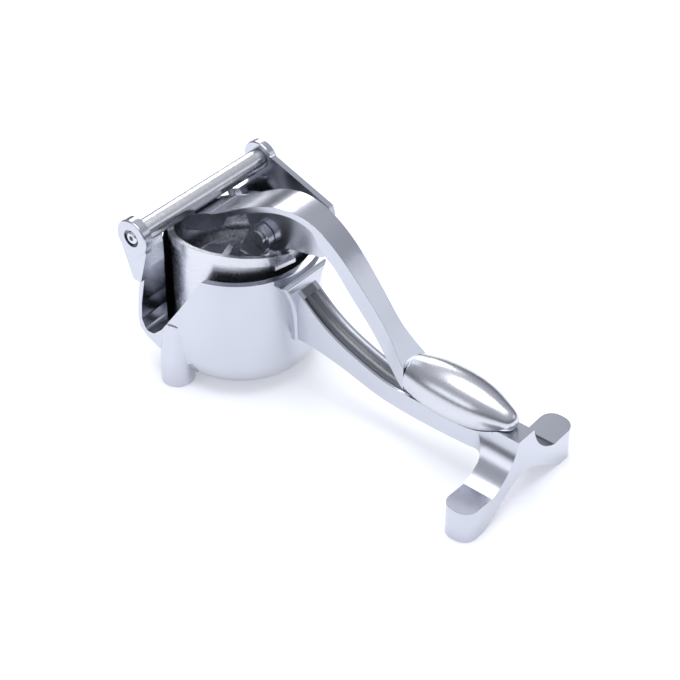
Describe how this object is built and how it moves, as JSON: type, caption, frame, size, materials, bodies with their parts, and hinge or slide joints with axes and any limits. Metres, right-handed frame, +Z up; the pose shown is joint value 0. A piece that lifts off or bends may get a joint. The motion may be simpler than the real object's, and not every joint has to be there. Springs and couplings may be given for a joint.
{
  "type": "hand lever fruit press",
  "caption": "Hand lever fruit press in bright cast aluminium: pot with spout, strainer cup, crossbar, hooked lever with egg grip, pressing head, long tail and forked foot.",
  "frame": {"origin": "on the table, in the middle of the whole footprint", "axes": "+X along the tail towards the foot, +Y towards the closed side of the pot (the spout is on -Y), +Z up"},
  "size_m": [0.2336, 0.1043, 0.1145],
  "materials": {
    "cast_aluminium": "bright satin",
    "polished_aluminium": "polished",
    "bar_steel": "fine turned",
    "screw_steel": "plated"
  },
  "bodies": {
    "frame": {"pot_housing": "cast_aluminium", "tail_beam": "cast_aluminium", "foot_yoke": "cast_aluminium", "strainer_cup": "polished_aluminium", "hinge_rod": "bar_steel", "hinge_screw_spout_side": "screw_steel", "hinge_screw_closed_side": "screw_steel", "end_washers": "screw_steel"},
    "roller": {"roller_tube": "bar_steel"},
    "lever": {"lever_arm": "cast_aluminium", "lever_grip": "polished_aluminium", "press_pin": "screw_steel", "pin_clip": "screw_steel"},
    "head": {"press_head": "polished_aluminium"}
  },
  "joints": [
    {"name": "lever_hinge", "type": "hinge", "parent": "frame", "child": "lever", "pos_m": [-0.09875, 0.00175, 0.09], "axis": [0, -1, 0], "range_deg": [0, 74]},
    {"name": "head_pivot", "type": "hinge", "parent": "lever", "child": "head", "pos_m": [-0.05075, 0.00175, 0.088], "axis": [0, -1, 0], "range_deg": [-16, 0]},
    {"name": "roller_spin", "type": "hinge", "parent": "frame", "child": "roller", "pos_m": [-0.09875, 0.00175, 0.09], "axis": [0, -1, 0], "continuous": true}
  ],
  "couplings": [
    {"joint": "head_pivot", "follows": "lever_hinge", "ratio": -0.2}
  ]
}
